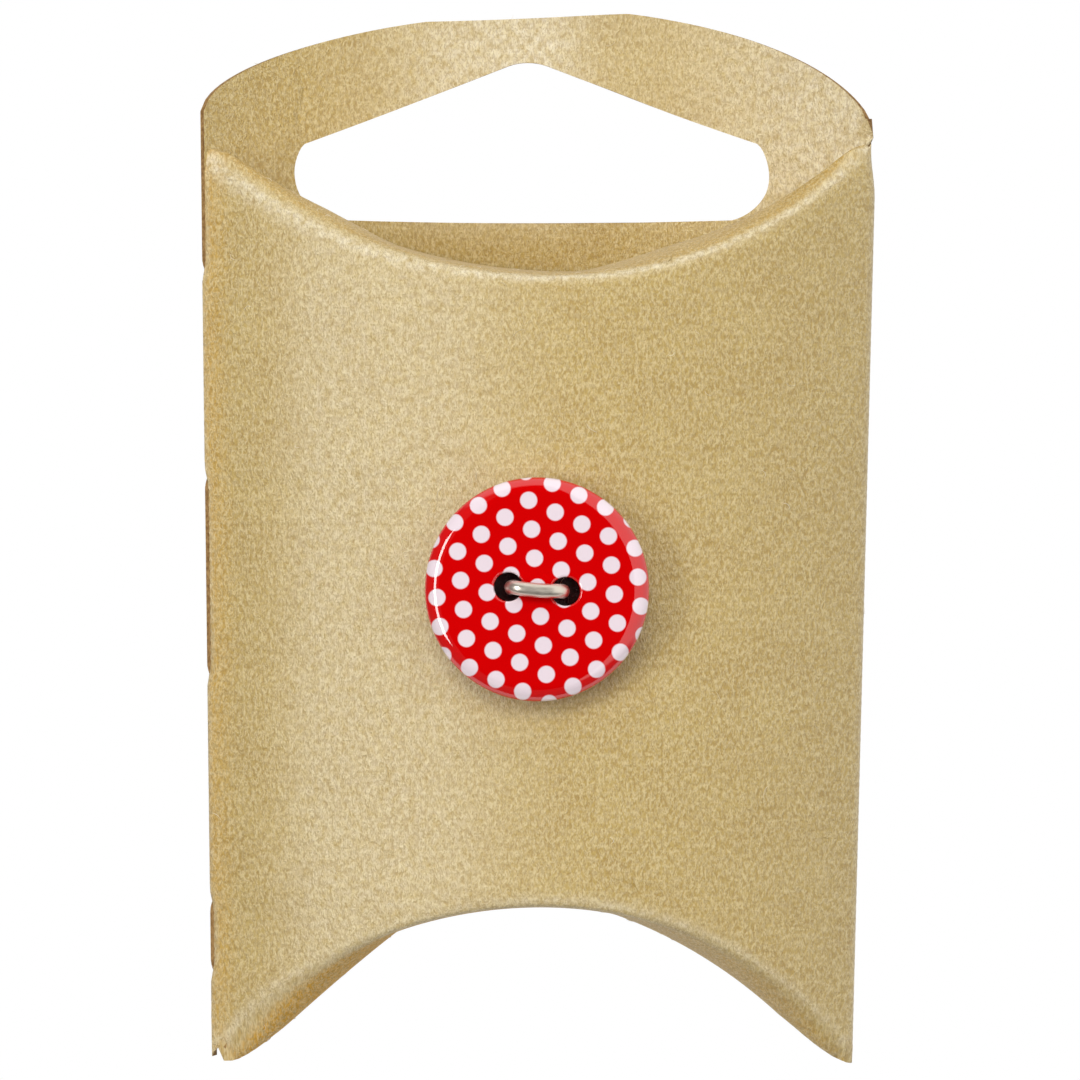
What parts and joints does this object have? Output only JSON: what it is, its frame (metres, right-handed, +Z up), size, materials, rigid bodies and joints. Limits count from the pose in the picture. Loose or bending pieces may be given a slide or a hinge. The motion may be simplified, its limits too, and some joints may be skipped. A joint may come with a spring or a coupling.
{
  "type": "hanging card with button",
  "caption": "Pillow-shaped kraft card with a hang hole, holding a red button with white spots on its front by a wire staple.",
  "frame": {"origin": "top of the hang hole, half-way through the card, where a peg bears", "axes": "+Z up as it hangs, the front with the button faces -Y, +X to the right of someone looking at the front"},
  "size_m": [0.0552, 0.0288, 0.0878],
  "materials": {
    "card": "uncoated brown kraft card",
    "button_body": "polished red resin with a printed pattern of white spots",
    "wire": "bright plated wire"
  },
  "bodies": {
    "root": {"card_pack": "card", "button": "button_body", "staple": "wire"}
  },
  "joints": []
}
